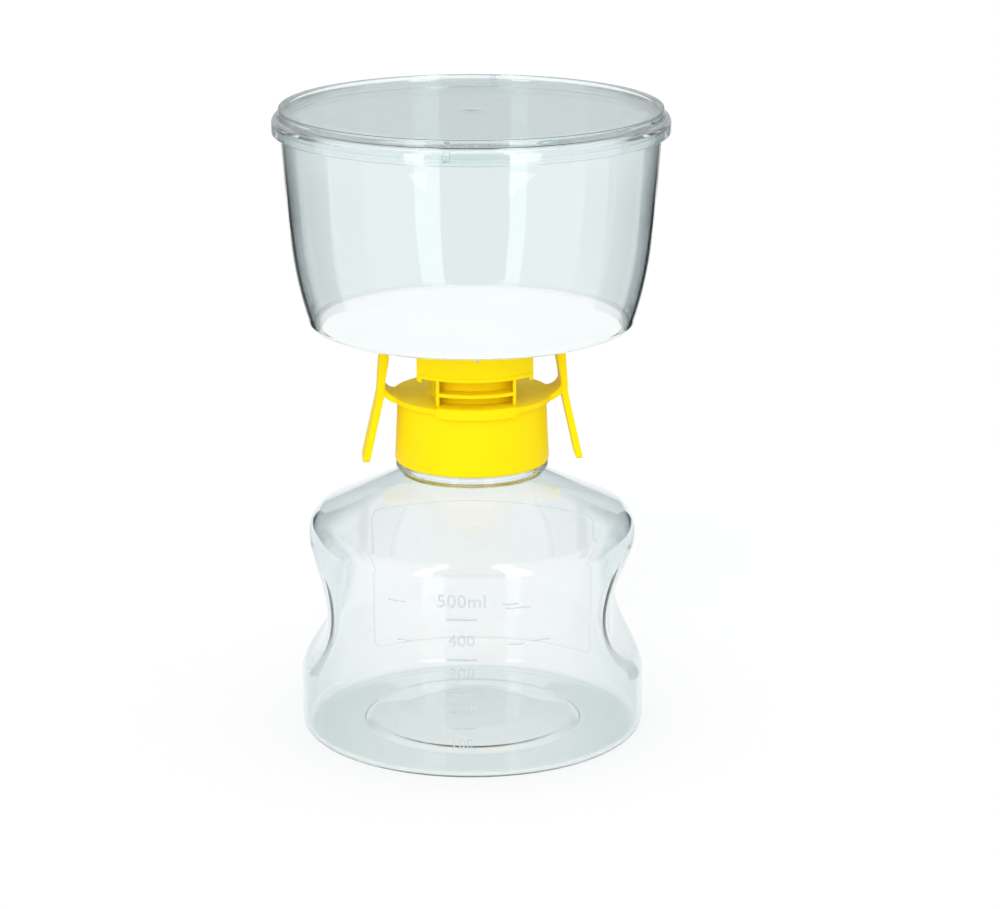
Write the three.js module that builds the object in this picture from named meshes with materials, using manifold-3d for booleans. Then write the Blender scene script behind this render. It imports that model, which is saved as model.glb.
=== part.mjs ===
// A bench-top vacuum filtration unit: a lidded funnel with a membrane floor, an adapter collar with a
// vacuum port, and a receiver bottle with finger grips. Millimetres, +Z up. The origin is the centre of
// the bottle's base; the grips lie along X and the collar's front faces -Y.

import * as THREE from 'three';
import { mergeVertices } from 'three/addons/utils/BufferGeometryUtils.js';
import Module from 'manifold-3d';

const kernel = await Module();
kernel.setup();

// Clearances and smoothness
const gap = 0.3; // between pieces that touch
const roundSides = 60; // facets round a large turned piece
const middleSides = 48; // round the neck's pieces
const smallSides = 24; // round the vacuum port
const reach = 400; // longer than any piece, for cutters that run right through
const overlap = 0.6; // how far a feature runs into what carries it, and a cutter past a face

// Receiver bottle
const bodyRadius = 57.3; // outside, at the base
const bottleWall = 1.5;
const baseRound = 4; // outer radius of the bottom corner
const contactWidth = 3.3; // flat ring that the bottle stands on
const pushUpRadius = 36.2; // where the raised middle of the base begins
const pushUpRise = 0.7;
const pushUpEdge = 33.7; // where its sloping edge meets the dome
const pushUpHeight = 2.1; // height there
const domeRadius = 20; // where the dome flattens
const domeEdge = 4;
const domeHeight = 4.6;
const uprightHeight = 24; // the wall is upright up to here, then tapers
const shoulderHeight = 68.75; // where the taper meets the rounded shoulder
const shoulderTaper = 3.05; // how much smaller the radius is there
const shoulderRound = 8.3;
const coneSlope = THREE.MathUtils.degToRad(25.2);
const gripRadius = 25; // of the scoop that a finger or thumb lies in
const gripDepth = 12; // from the body's side to the scoop's floor
const gripHeight = 46.5;

// Bottle neck
const neckRadius = 21.3; // outside, under the thread
const neckWall = 1.7;
const neckRootStep = 1.7; // from the neck's radius out to where the cone ends
const neckGroove = 1.3; // height of the groove under the ring
const ringProud = 4; // from the neck's radius out to the ring's edge
const ringHeight = 2.3;
const ringBevel = 0.6;
const neckLength = 17.7; // from the ring to the mouth

// Neck gasket and the seat above it
const gasketHeight = 1.4;
const gasketOverhang = 1.1; // past the mouth's outer edge
const gasketInset = 0.1; // of the gasket's bore from the mouth's bore

// Collar skirt, flange and core tube
const collarTurn = THREE.MathUtils.degToRad(7.4); // where its thread stops, past the bottle's front
const threadClearance = 1.6; // between the neck and the skirt's bore, for both threads
const skirtWall = 2.7; // at the open end
const skirtTaper = 0.9; // how much the skirt narrows towards the flange
const skirtClearance = 0.4; // above the neck ring
const skirtEdge = 1; // rounded lower edge
const flangeProud = 1; // past the skirt's lower edge
const flangeThickness = 2;
const flangeRise = 3.6; // from the gasket seat to the flange's top
const headClearance = 22; // from the flange's top to the base plate
const coreRadius = 14.3;
const coreWall = 1.6;

// Collar wings
const wingStandOff = 5.9; // outer face at the knee, from the skirt's lower edge
const wingThickness = 2.2;
const wingShoulder = 5; // height above the knee at which the wing has its full depth
const wingLean = THREE.MathUtils.degToRad(4); // inwards, above the knee
const wingHalfDepth = 7;
const wingWaistHalfDepth = 5; // at the knee
const paddleHalfDepth = 6.6; // near the tip
const paddleRound = 2;
const paddleStart = 6; // height above the tip at which the paddle has its full depth
const legSpread = 5; // how far the tip stands out from the knee
const legLength = 23.5; // knee to tip, measured down
const tabHalfDepth = 10.5; // of the dished arms that carry the wings
const dishRadius = 5.5;
const armDrop = 0.4; // underside of the arm at the wing, below the flange's top
const archBend = 1.6; // how far in from the wing the arch under the arm turns down
const gussetGrowth = 1.2; // inner thickening of the upper wing
const gussetRun = 6; // height over which it grows
const gussetInset = 1.5; // from the wing's front and back edges

// Collar front panel and louvres
const panelInset = 1.8; // from the flange's edge
const panelThickness = 1.3;
const panelHalfWidth = 19;
const panelHeight = 13; // hangs down from the base plate
const lipHeight = 1.7;
const lipProud = 0.3;
const hookWidth = 1.4; // tags at the ends of the lip
const hookDrop = 1.2;
const louvreHalfWidth = 13.3; // outer faces of the two ribs
const louvreRib = 1.15;
const louvreInset = 0.3; // of the ribs and shelves from the panel's face
const pocketDepth = 5.8;
const shelfHeight = 4.2; // underside of the middle shelf above the flange
const shelfThickness = 1.2;
const sillInset = 0.3; // from the flange's edge
const sillTop = 0.8; // above the flange
const sillRound = 2;

// Vacuum port at the back of the collar, and the hose connector in it
const portHeight = 10.6; // above the flange
const portLength = 10.2; // mouth of the port, from the core tube
const portWall = 1.4;
const plugRadius = 3.1;
const plugLength = 7;
const stopRadius = 5.2; // disc that stops the connector
const stopThickness = 1.5;
const connectorBore = 1.8;
const connectorWall = 0.8; // at the tip
const barbRise = 0.7; // height of a barb's crest over its root
const barbStep = 0.8; // each barb is this much smaller than the last
const barbLength = 7;
const barbShank = 2; // plain stretch behind each crest
const barbCount = 3;

// Base plate, membrane
const plateDrop = 0.9; // how far the plate hangs below the funnel's foot
const plateDropInset = 2;
const spoutRadius = 8.5;
const spoutWall = 1.5;
const spoutDepth = 6; // below the bottle's mouth
const grooveDepth = 0.5;
const grooveWidth = 1.4;
const grooveRings = 3;
const grooveSpokes = 8;
const membraneThickness = 0.3;
const membraneInset = 0.5; // from the funnel's inner wall

// Funnel
const funnelRadius = 59.5; // outside, where the curved lower wall becomes the straight upper one
const funnelCurveHeight = 31.2; // that height above the funnel's foot
const funnelHeight = 69; // foot to rim
const funnelTaper = THREE.MathUtils.degToRad(4.1);
const funnelCurve = 125; // radius of the lower wall's bulge
const funnelWall = 1.5;
const funnelFoot = 0.8; // thickness of the inward foot, level with the base plate's top
const footRound = 3.5;
const footLand = 0.7; // flat underside between the rounded corner and the opening
const rimProud = 0.8; // flange round the rim
const rimHeight = 2.6;

// Lid
const lidPlate = 1.6;
const lidRingRise = 1.3; // raised ring above the plate
const lidRingWidth = 2.4;
const lidRingBevel = 0.4;
const lidClearance = 0.5; // between the funnel's rim and the skirt
const lidSkirtWall = 1.4;
const lidShoulderWidth = 2.3; // from the ring's edge out to the skirt's face
const lidSkirtDepth = 6.7; // from the plate's top
const lidShoulder = 1.8; // height of the rounded shoulder
const lidShoulderBevel = 0.6;
const gateRadius = 9; // shallow round recess in the middle
const gateDepth = 0.4;

// Radii that follow from the ones above
const neckBore = neckRadius - neckWall;
const neckRootRadius = neckRadius + neckRootStep;
const ringRadius = neckRadius + ringProud;
const threadBore = neckRadius + threadClearance;
const skirtRadius = threadBore + skirtWall;
const flangeRadius = skirtRadius + flangeProud;
const wingReach = skirtRadius + wingStandOff;
const panelRadius = flangeRadius - panelInset;
const louvreFront = panelRadius - louvreInset;
const pocketBack = panelRadius - pocketDepth;
const sillRadius = flangeRadius - sillInset;
const coreBore = coreRadius - coreWall;
const portReach = coreRadius + portLength;
const spoutBore = spoutRadius - spoutWall;

// Heights of the levels where pieces meet, from the bench upwards
const coneFoot = coneStart(0);
const neckRoot = coneFoot.y + (coneFoot.x - neckRootRadius) * Math.tan(coneSlope);
const ringBottom = neckRoot + neckGroove;
const ringTop = ringBottom + ringHeight;
const mouth = ringTop + neckLength;
const gasketBottom = mouth + gap;
const seat = gasketBottom + gasketHeight + gap;
const flangeTop = seat + flangeRise;
const headTop = flangeTop + headClearance;
const plateBottom = headTop + gap;
const foot = plateBottom + plateDrop;
const plateTop = foot + funnelFoot;
const membraneBottom = plateTop + gap;
const rim = foot + funnelHeight;
const lidUnderside = rim + gap;
const lidTop = lidUnderside + lidPlate;

// Radii on the funnel's skins at those levels
const footOpening = cornerCentre().x - footLand;
const plateRadius = footOpening - gap;
const membraneRadius = curvedRadius(funnelWall, plateTop) - membraneInset;
const rimRadius = straightRadius(0, rim - rimHeight) + rimProud;
const lidSkirtInner = rimRadius + lidClearance;
const lidSkirtRadius = lidSkirtInner + lidSkirtWall;
const lidRingRadius = lidSkirtRadius - lidShoulderWidth;

// ---- shared shape helpers

function at(x, y) {
  return new THREE.Vector2(x, y);
}

// Points along an arc, angles in degrees, both ends included.
function arc(x, y, radius, from, to, steps) {
  return Array.from({ length: steps + 1 }, (_, i) => {
    const angle = THREE.MathUtils.degToRad(from + ((to - from) * i) / steps);
    return at(x + radius * Math.cos(angle), y + radius * Math.sin(angle));
  });
}

// A closed geometry as a solid, whichever way its faces point.
function solid(geometry) {
  const bare = new THREE.BufferGeometry();
  const loose = geometry.index ? geometry.toNonIndexed() : geometry;
  bare.setAttribute('position', loose.getAttribute('position'));
  const merged = mergeVertices(bare, 1e-4);
  const place = new THREE.Vector3();
  const corners = [];
  let volume = 0;
  for (let i = 0; i < merged.index.count; i += 3) {
    const [a, b, c] = [0, 1, 2].map((k) => merged.index.getX(i + k));
    if (a === b || b === c || c === a) continue;
    corners.push(a, b, c);
    const [p, q, r] = [a, b, c].map((k) => place.fromBufferAttribute(merged.attributes.position, k).clone());
    volume += p.dot(q.cross(r));
  }
  if (volume < 0) corners.reverse();
  return new kernel.Manifold(new kernel.Mesh({
    numProp: 3,
    vertProperties: merged.attributes.position.array,
    triVerts: new Uint32Array(corners),
  }));
}

// A profile of (radius, height) points turned about Z. It starts and ends on the axis, or closes.
function turned(profile, sides = roundSides) {
  return solid(new THREE.LatheGeometry(profile, sides).rotateX(Math.PI / 2));
}

function turnedRing(profile, sides = roundSides) {
  return turned([...profile, profile[0].clone()], sides);
}

function disc(radius, low, high, sides = roundSides) {
  return turned([at(0, low), at(radius, low), at(radius, high), at(0, high)], sides);
}

function box(left, right, front, back, low, high) {
  const shape = new THREE.BoxGeometry(right - left, back - front, high - low);
  return solid(shape.translate((left + right) / 2, (front + back) / 2, (low + high) / 2));
}

// An outline in (x, z), given depth along Y.
function plateAcross(outline, halfDepth) {
  const shape = new THREE.ExtrudeGeometry(new THREE.Shape(outline), {
    depth: 2 * halfDepth, bevelEnabled: false,
  });
  return solid(shape.rotateX(Math.PI / 2).translate(0, halfDepth, 0));
}

// An outline in (y, z), given width along X from left to right.
function plateAlong(outline, left, right) {
  const shape = new THREE.ExtrudeGeometry(new THREE.Shape(outline), {
    depth: right - left, bevelEnabled: false,
  });
  return solid(shape.rotateX(Math.PI / 2).rotateZ(Math.PI / 2).translate(left, 0, 0));
}

function alongY(shape, y, z) {
  return shape.rotate([-90, 0, 0]).translate([0, y, z]);
}

function mirroredX(shape) {
  return shape.mirror([1, 0, 0]);
}

// From the collar's own facing to where its thread stops.
function faceForward(shape) {
  return shape.rotate([0, 0, THREE.MathUtils.radToDeg(collarTurn)]);
}

function piece(name, shape, colour, roughness, opacity = 1) {
  const mesh = shape.getMesh();
  const geometry = new THREE.BufferGeometry();
  geometry.setAttribute('position', new THREE.BufferAttribute(new Float32Array(mesh.vertProperties), 3));
  geometry.setIndex(new THREE.BufferAttribute(new Uint32Array(mesh.triVerts), 1));
  geometry.computeVertexNormals();
  const material = new THREE.MeshStandardMaterial({
    color: colour, roughness, metalness: 0, opacity, transparent: opacity < 1,
  });
  const result = new THREE.Mesh(geometry, material);
  result.name = name;
  return result;
}

const clear = [0xdfe9ea, 0.06, 0.35];
const yellow = [0xf6e71c, 0.35];

// ---- receiver bottle

// The foot of the cone on a skin that lies `inset` inside the bottle's outer one.
function coneStart(inset) {
  const round = shoulderRound - inset;
  return at(
    bodyRadius - shoulderTaper - shoulderRound + round * Math.sin(coneSlope),
    shoulderHeight + round * Math.cos(coneSlope),
  );
}

// The base and side as (radius, height) points from the axis up to the foot of the neck's cone.
function bottleSkin(inset) {
  const shoulderX = bodyRadius - shoulderTaper - shoulderRound;
  const coneDegrees = THREE.MathUtils.radToDeg(coneSlope);
  return [
    at(0, domeHeight + inset),
    at(domeRadius, domeEdge + inset),
    at(pushUpEdge, pushUpHeight + inset),
    at(pushUpRadius, pushUpRise + inset),
    at(bodyRadius - baseRound - contactWidth, inset),
    ...arc(bodyRadius - baseRound, baseRound, baseRound - inset, -90, 0, 4),
    at(bodyRadius - inset, uprightHeight),
    ...arc(shoulderX, shoulderHeight, shoulderRound - inset, 0, 90 - coneDegrees, 5),
  ];
}

// Two horizontal cylinders that scoop the finger grips out of a skin.
function gripCutters(inset) {
  const across = bodyRadius - gripDepth + gripRadius;
  const cutter = alongY(disc(gripRadius + inset, -reach / 2, reach / 2), 0, gripHeight);
  return cutter.translate([across, 0, 0]).add(cutter.translate([-across, 0, 0]));
}

function makeBottle() {
  const innerCone = coneStart(bottleWall);
  const innerRoot = innerCone.y + (innerCone.x - neckBore) * Math.tan(coneSlope);
  const outside = turned([
    ...bottleSkin(0),
    at(neckRootRadius, neckRoot),
    at(neckRootRadius, ringBottom),
    at(ringRadius - ringBevel, ringBottom),
    at(ringRadius, ringBottom + ringBevel),
    at(ringRadius, ringTop - ringBevel),
    at(ringRadius - ringBevel, ringTop),
    at(neckRadius, ringTop),
    at(neckRadius, mouth),
    at(0, mouth),
  ]);
  const inside = turned([
    ...bottleSkin(bottleWall),
    at(neckBore, innerRoot),
    at(neckBore, mouth + gap),
    at(0, mouth + gap),
  ]);
  const shell = outside.subtract(gripCutters(0));
  return shell.subtract(inside.subtract(gripCutters(bottleWall)));
}

// ---- gasket

function makeGasket() {
  const inner = neckBore + gasketInset;
  const outer = neckRadius + gasketOverhang;
  const top = gasketBottom + gasketHeight;
  const section = [at(inner, gasketBottom), at(outer, gasketBottom), at(outer, top), at(inner, top)];
  return turnedRing(section, middleSides);
}

// ---- collar: modelled facing -Y, then turned

// Skirt, flange and core tube are one turned shape.
function collarHub() {
  const low = ringTop + skirtClearance;
  const neckOfSkirt = skirtRadius - skirtTaper;
  return turnedRing([
    at(threadBore, low),
    ...arc(skirtRadius - skirtEdge, low + skirtEdge, skirtEdge, -90, 0, 3),
    at(neckOfSkirt, seat),
    at(neckOfSkirt, flangeTop - flangeThickness),
    at(flangeRadius, flangeTop - flangeThickness),
    at(flangeRadius, flangeTop),
    at(coreRadius, flangeTop),
    at(coreRadius, headTop),
    at(coreBore, headTop),
    at(coreBore, seat),
    at(threadBore, seat),
  ], middleSides);
}

// The dished arm between the flange and the right-hand wing, as an outline in (x, z).
function collarArm() {
  const face = wingReach - wingThickness;
  const middle = wingReach - wingThickness / 2;
  const dishStart = face - dishRadius;
  const dishTop = flangeTop + dishRadius;
  const underside = flangeTop - armDrop;
  const root = skirtRadius - 2 * skirtTaper;
  const rootLow = seat + overlap;
  const archTop = at(face, underside);
  const archTurn = at(face - archBend, rootLow);
  const archFoot = at(skirtRadius - skirtTaper, rootLow);
  const arch = new THREE.QuadraticBezierCurve(archTop, archTurn, archFoot);
  return plateAcross([
    at(root, flangeTop),
    ...arc(dishStart, dishTop, dishRadius, -90, 0, 6),
    at(middle, dishTop),
    at(middle, underside),
    ...arch.getPoints(5),
    at(root, rootLow),
  ], tabHalfDepth);
}

// The right-hand wing: an upright plate above its knee and a splayed finger paddle below it.
function collarWing() {
  const knee = flangeTop;
  const tip = knee - legLength;
  const outerFace = (z) => wingReach - (z - knee) * Math.tan(wingLean);
  const innerFace = (z) => outerFace(z) - wingThickness;
  const side = plateAcross([
    at(outerFace(knee), knee),
    at(outerFace(headTop), headTop),
    at(innerFace(headTop), headTop),
    at(innerFace(knee), knee),
    at(wingReach + legSpread - wingThickness, tip),
    at(wingReach + legSpread, tip),
  ], wingHalfDepth + overlap);
  const face = plateAlong([
    at(-wingHalfDepth, headTop + overlap),
    at(-wingHalfDepth, knee + wingShoulder),
    at(-wingWaistHalfDepth, knee),
    at(-paddleHalfDepth, tip + paddleStart),
    ...arc(-paddleHalfDepth + paddleRound, tip + paddleRound, paddleRound, 180, 270, 4),
    ...arc(paddleHalfDepth - paddleRound, tip + paddleRound, paddleRound, 270, 360, 4),
    at(paddleHalfDepth, tip + paddleStart),
    at(wingWaistHalfDepth, knee),
    at(wingHalfDepth, knee + wingShoulder),
    at(wingHalfDepth, headTop + overlap),
  ], 0, reach);
  const gussetFoot = flangeTop + dishRadius;
  const gussetFull = gussetFoot + gussetRun;
  const gusset = plateAcross([
    at(innerFace(gussetFoot) + overlap, gussetFoot),
    at(innerFace(gussetFull) - gussetGrowth, gussetFull),
    at(innerFace(headTop) - gussetGrowth, headTop),
    at(innerFace(headTop) + overlap, headTop),
  ], wingHalfDepth - gussetInset);
  return side.intersect(face).add(gusset);
}

// A stretch of upright ring at the front, between two radii and no wider than halfWidth each side.
function frontBand(inner, outer, low, high, halfWidth) {
  const section = [at(inner, low), at(outer, low), at(outer, high), at(inner, high)];
  const ring = turnedRing(section, middleSides);
  return ring.intersect(box(-halfWidth, halfWidth, -reach, 0, 0, reach));
}

function collarPanel() {
  const low = headTop - panelHeight;
  const hookLow = low - hookDrop;
  const inner = panelRadius - panelThickness;
  const proud = panelRadius + lipProud;
  const hookStart = panelHalfWidth - hookWidth;
  const hooks = frontBand(inner, proud, hookLow, low + overlap, panelHalfWidth);
  return kernel.Manifold.union([
    frontBand(inner, panelRadius, low, headTop, panelHalfWidth),
    frontBand(inner, proud, low, low + lipHeight, panelHalfWidth),
    hooks.subtract(box(-hookStart, hookStart, -reach, reach, 0, low)),
  ]);
}

// Two upright ribs, the pocket wall behind them, and the shelves between them.
function collarLouvres() {
  const half = louvreHalfWidth;
  const low = seat + overlap;
  const panelLow = headTop - panelHeight;
  const back = pocketBack - panelThickness;
  const shelf = flangeTop + shelfHeight;
  const sillHigh = flangeTop + sillTop;
  const ribs = frontBand(coreRadius - coreWall / 2, louvreFront, low, headTop, half);
  const sill = frontBand(back, sillRadius, low, sillHigh, half);
  const rounded = plateAcross([
    at(-half, sillHigh),
    ...arc(-half + sillRound, low + sillRound, sillRound, 180, 270, 3),
    ...arc(half - sillRound, low + sillRound, sillRound, 270, 360, 3),
    at(half, sillHigh),
  ], reach);
  return kernel.Manifold.union([
    frontBand(back, pocketBack, low, headTop, half),
    frontBand(back, louvreFront, shelf, shelf + shelfThickness, half),
    frontBand(back, panelRadius, panelLow, panelLow + lipHeight, half),
    ribs.subtract(box(-half + louvreRib, half - louvreRib, -reach, reach, 0, reach)),
    sill.intersect(rounded),
  ]);
}

// The vacuum port: a tube out of the back of the core tube, on a web.
function collarPort() {
  const radius = plugRadius + gap + portWall;
  const height = flangeTop + portHeight;
  const start = coreRadius - coreWall / 2;
  const tube = alongY(disc(radius, start, portReach, smallSides), 0, height);
  const halfWeb = portWall / 2;
  const web = box(-halfWeb, halfWeb, start, portReach - portWall, flangeTop - overlap, height);
  return tube.add(web);
}

function makeCollar() {
  const bore = alongY(disc(plugRadius + gap, 0, reach, smallSides), 0, flangeTop + portHeight);
  const side = collarArm().add(collarWing());
  const body = kernel.Manifold.union([
    collarHub(), side, mirroredX(side), collarPanel(), collarLouvres(), collarPort(),
  ]);
  return faceForward(body.subtract(bore));
}

// ---- hose connector: a plug, a stop disc and a row of barbs, turned about its own axis

function makeConnector() {
  const stop = portReach + gap;
  const tipRadius = connectorBore + connectorWall;
  const barbs = [];
  for (let i = 0; i < barbCount; i += 1) {
    const start = stop + stopThickness + i * barbLength;
    const root = tipRadius + (barbCount - 1 - i) * barbStep;
    barbs.push(
      at(root, start),
      at(root, start + barbShank),
      at(root + barbRise, start + barbShank),
      at(Math.max(root - barbStep, tipRadius), start + barbLength),
    );
  }
  const profile = [
    at(connectorBore, portReach - plugLength),
    at(plugRadius, portReach - plugLength),
    at(plugRadius, stop),
    at(stopRadius, stop),
    at(stopRadius, stop + stopThickness),
    ...barbs,
    at(connectorBore, stop + stopThickness + barbCount * barbLength),
  ];
  const upright = turnedRing(profile, smallSides);
  return faceForward(alongY(upright, 0, flangeTop + portHeight));
}

// ---- funnel, membrane, base plate and lid

// Centre of the lower wall's bulge, shared by the outer and the inner skin.
function bulgeCentre() {
  return at(
    funnelRadius - funnelCurve * Math.cos(funnelTaper),
    foot + funnelCurveHeight + funnelCurve * Math.sin(funnelTaper),
  );
}

// Radius of a skin `inset` inside the funnel's outer one, on the curved lower wall.
function curvedRadius(inset, height) {
  const centre = bulgeCentre();
  const round = funnelCurve - inset;
  return centre.x + Math.sqrt(round * round - (height - centre.y) ** 2);
}

// Radius of such a skin on the straight upper wall.
function straightRadius(inset, height) {
  const above = height - (foot + funnelCurveHeight);
  return funnelRadius - inset / Math.cos(funnelTaper) + above * Math.tan(funnelTaper);
}

// The bulged wall from a height up to the start of the straight wall.
function bulge(inset, from, steps) {
  const centre = bulgeCentre();
  const round = funnelCurve - inset;
  const low = THREE.MathUtils.radToDeg(Math.asin((from - centre.y) / round));
  return arc(centre.x, centre.y, round, low, -THREE.MathUtils.radToDeg(funnelTaper), steps);
}

// Centre of the rounded corner under the wall, which is tangent to the foot's plane and to the bulge.
function cornerCentre() {
  return at(curvedRadius(footRound, foot + footRound), foot + footRound);
}

function makeFunnel() {
  const corner = cornerCentre();
  const lean = Math.asin((bulgeCentre().y - corner.y) / (funnelCurve - footRound));
  const cornerEnd = -THREE.MathUtils.radToDeg(lean);
  const wallStart = corner.y - footRound * Math.sin(lean);
  const rimLow = rim - rimHeight;
  return turnedRing([
    at(footOpening, foot),
    ...arc(corner.x, corner.y, footRound, -90, cornerEnd, 4).slice(0, -1),
    ...bulge(0, wallStart, 5),
    at(straightRadius(0, rimLow), rimLow),
    at(rimRadius, rimLow),
    at(rimRadius, rim),
    at(straightRadius(funnelWall, rim), rim),
    ...bulge(funnelWall, plateTop, 5).reverse(),
    at(footOpening, plateTop),
  ]);
}

function makeMembrane() {
  return disc(membraneRadius, membraneBottom, membraneBottom + membraneThickness);
}

// The plate, the spout under it and the grooves that lead the filtrate to the spout.
function makeBasePlate() {
  const tip = mouth - spoutDepth;
  const body = turnedRing([
    at(spoutBore, tip),
    at(spoutRadius, tip),
    at(spoutRadius, plateBottom),
    at(plateRadius - plateDropInset, plateBottom),
    at(plateRadius - plateDropInset, foot),
    at(plateRadius, foot),
    at(plateRadius, plateTop),
    at(spoutBore, plateTop),
  ]);
  const floor = plateTop - grooveDepth;
  const pitch = (plateRadius - spoutRadius) / (grooveRings + 1);
  const grooves = [];
  for (let i = 1; i <= grooveRings; i += 1) {
    const middle = spoutRadius + i * pitch;
    const [inner, outer] = [middle - grooveWidth / 2, middle + grooveWidth / 2];
    const section = [
      at(inner, floor), at(outer, floor), at(outer, plateTop + overlap), at(inner, plateTop + overlap),
    ];
    grooves.push(turnedRing(section, middleSides));
  }
  const outerGroove = spoutRadius + grooveRings * pitch;
  const halfWidth = grooveWidth / 2;
  const spoke = box(spoutBore - overlap, outerGroove, -halfWidth, halfWidth, floor, plateTop + overlap);
  for (let i = 0; i < grooveSpokes; i += 1) {
    grooves.push(spoke.rotate([0, 0, (i * 360) / grooveSpokes]));
  }
  return body.subtract(kernel.Manifold.union(grooves));
}

function makeLid() {
  const skirtLow = lidTop - lidSkirtDepth;
  const ringTopZ = lidTop + lidRingRise;
  const shoulderZ = lidTop - lidRingRise;
  return turned([
    at(0, lidUnderside),
    at(lidSkirtInner, lidUnderside),
    at(lidSkirtInner, skirtLow),
    at(lidSkirtRadius, skirtLow),
    at(lidSkirtRadius, shoulderZ - lidShoulder),
    at(lidSkirtRadius - lidShoulderBevel, shoulderZ - lidShoulderBevel),
    at(lidRingRadius, shoulderZ),
    at(lidRingRadius, ringTopZ - lidRingBevel),
    at(lidRingRadius - lidRingBevel, ringTopZ),
    at(lidRingRadius - lidRingWidth + lidRingBevel, ringTopZ),
    at(lidRingRadius - lidRingWidth, lidTop),
    at(gateRadius, lidTop),
    at(gateRadius - gateDepth, lidTop - gateDepth),
    at(0, lidTop - gateDepth),
  ]);
}

// ---- the whole unit

const unit = new THREE.Group();
unit.add(
  piece('receiver_bottle', makeBottle(), ...clear),
  piece('neck_gasket', makeGasket(), 0xf2f2ee, 0.6),
  piece('collar', makeCollar(), ...yellow),
  piece('hose_connector', makeConnector(), 0xf4f4f0, 0.4),
  piece('base_plate', makeBasePlate(), ...clear),
  piece('membrane', makeMembrane(), 0xfbfcfc, 0.85),
  piece('funnel', makeFunnel(), ...clear),
  piece('lid', makeLid(), ...clear),
);

export default unit;
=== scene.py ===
# A bench-top vacuum filtration unit: clear bottle, yellow screw collar, clear lidded funnel.
# Sizes in the dictionaries are millimetres; the meshes are metres.

import math

import bpy
import numpy as np
from mathutils import Matrix, Vector


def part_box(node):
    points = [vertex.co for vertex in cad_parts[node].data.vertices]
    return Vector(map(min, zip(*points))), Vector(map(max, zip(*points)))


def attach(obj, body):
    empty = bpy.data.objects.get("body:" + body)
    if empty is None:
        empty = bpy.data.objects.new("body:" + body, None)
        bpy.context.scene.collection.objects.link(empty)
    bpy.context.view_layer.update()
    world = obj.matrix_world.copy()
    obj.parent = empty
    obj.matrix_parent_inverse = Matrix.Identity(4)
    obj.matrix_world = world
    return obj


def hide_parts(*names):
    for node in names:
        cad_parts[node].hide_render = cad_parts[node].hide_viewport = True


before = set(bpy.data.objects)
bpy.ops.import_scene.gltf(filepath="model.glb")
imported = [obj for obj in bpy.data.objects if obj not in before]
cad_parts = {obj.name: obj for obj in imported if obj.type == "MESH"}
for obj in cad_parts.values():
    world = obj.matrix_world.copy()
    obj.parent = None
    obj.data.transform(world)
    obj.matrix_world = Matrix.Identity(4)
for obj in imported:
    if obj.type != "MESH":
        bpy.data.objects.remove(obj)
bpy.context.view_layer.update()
mm = 0.001


def deselectAll():
    bpy.ops.object.select_all(action="DESELECT")


def boxOf(node):
    low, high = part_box(node)
    return low / mm, high / mm


# ---- camera

viewpoint = {"turn": 3, "drop": 15.656, "sideways": 9.3, "distance": 1104, "height": 403.2, "lens": 124.14}


def addCamera():
    turn = math.radians(viewpoint["turn"])
    place = Vector((viewpoint["sideways"], -viewpoint["distance"], viewpoint["height"])) * mm
    place.rotate(Matrix.Rotation(turn, 3, "Z"))
    bpy.ops.object.camera_add(location=place, rotation=(math.radians(90 - viewpoint["drop"]), 0, turn))
    camera = bpy.context.object
    camera.data.sensor_width = 36
    camera.data.lens = viewpoint["lens"]
    camera.data.clip_start = 0.01
    camera.data.clip_end = 50
    bpy.context.scene.camera = camera


addCamera()
print("camera placed")

# ---- shared ways of shaping


def arc(x, z, radius, start, end, steps):
    angles = [math.radians(start + (end - start) * i / steps) for i in range(steps + 1)]
    return [(x + radius * math.cos(a), z + radius * math.sin(a)) for a in angles]


# Corners are (x, z) or (x, z, rounding). Each rounded one becomes a short arc between its neighbours.
def softened(corners, closed=False, steps=4):
    count = len(corners)
    points = []
    for i, corner in enumerate(corners):
        here = Vector(corner[:2])
        rounding = corner[2] if len(corner) > 2 else 0
        ends = not closed and i in (0, count - 1)
        if not rounding or ends:
            points.append(tuple(here))
            continue
        before = Vector(corners[i - 1][:2]) - here
        after = Vector(corners[(i + 1) % count][:2]) - here
        between = before.angle(after)
        run = min(rounding / math.tan(between / 2), before.length * 0.49, after.length * 0.49)
        before, after = before.normalized(), after.normalized()
        centre = here + (before + after).normalized() * (run / math.cos(between / 2))
        first, last = here + before * run - centre, here + after * run - centre
        sweep = first.angle_signed(last)
        for k in range(steps + 1):
            spoke = first.copy()
            spoke.rotate(Matrix.Rotation(-sweep * k / steps, 2))
            points.append(tuple(centre + spoke))
    return points


# Extra points along the long straight stretches of an outline.
def spaced(points, longest):
    result = [points[0]]
    for a, b in zip(points, points[1:]):
        parts = max(1, math.ceil(math.dist(a, b) / longest))
        result += [(a[0] + (b[0] - a[0]) * k / parts, a[1] + (b[1] - a[1]) * k / parts) for k in range(1, parts + 1)]
    return result


# One vertex is drawn out along the points, which leaves their outline selected in edit mode.
def drawOutline(name, points):
    deselectAll()
    bpy.ops.mesh.primitive_plane_add(size=0.01)
    piece = bpy.context.object
    piece.name = piece.data.name = name
    bpy.ops.object.mode_set(mode="EDIT")
    bpy.ops.mesh.select_all(action="SELECT")
    bpy.ops.mesh.merge(type="CENTER")
    bpy.ops.transform.translate(value=Vector(points[0]) * mm)
    for a, b in zip(points, points[1:]):
        bpy.ops.mesh.extrude_region_move(TRANSFORM_OT_translate={"value": (Vector(b) - Vector(a)) * mm})
    bpy.ops.mesh.select_all(action="SELECT")
    return piece


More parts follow.
